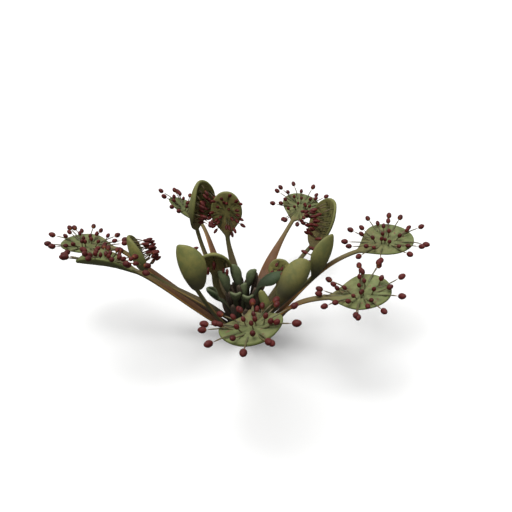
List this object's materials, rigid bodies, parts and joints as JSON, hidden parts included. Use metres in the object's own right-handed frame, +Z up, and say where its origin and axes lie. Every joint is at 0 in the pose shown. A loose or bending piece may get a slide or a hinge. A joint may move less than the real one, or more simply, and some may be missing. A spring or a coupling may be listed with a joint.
{
  "type": "sundew plant",
  "caption": "Small carnivorous rosette plant with round open leaves and cupped leaves on long stalks, fringed with gland-tipped tentacles, standing on its short bare crown.",
  "frame": {"origin": "centre of the crown's flat base, on the surface that the plant stands on", "axes": "+Z up through the crown; -Y towards the plant's front leaf; +X to the right seen from the front"},
  "size_m": [0.0826, 0.079, 0.0342],
  "materials": {
    "open_leaf": "satin pale green blade with pinkish mottling on an olive and red-brown stalk",
    "cupped_leaf": "satin olive green",
    "young_leaf": "satin dark blue-green",
    "crown": "matt dark brown",
    "gland": "satin deep crimson gland"
  },
  "bodies": {
    "root": {"crown": "crown", "open_front": "open_leaf", "open_right_low": "open_leaf", "open_right_high": "open_leaf", "open_back_right": "open_leaf", "open_back_left": "open_leaf", "open_left_far": "open_leaf", "open_left_near": "open_leaf", "cup_left": "cupped_leaf", "cup_tall": "cupped_leaf", "cup_back": "cupped_leaf", "cup_low": "cupped_leaf", "cup_right": "cupped_leaf", "egg_left": "cupped_leaf", "egg_right": "cupped_leaf", "egg_far": "cupped_leaf", "cup_small": "cupped_leaf", "young_left": "young_leaf", "young_tall": "young_leaf", "young_right": "young_leaf", "young_middle": "young_leaf", "young_hood": "young_leaf", "young_hook": "young_leaf", "bud_left": "young_leaf", "bud_front": "young_leaf", "young_strap": "cupped_leaf"}
  },
  "joints": []
}
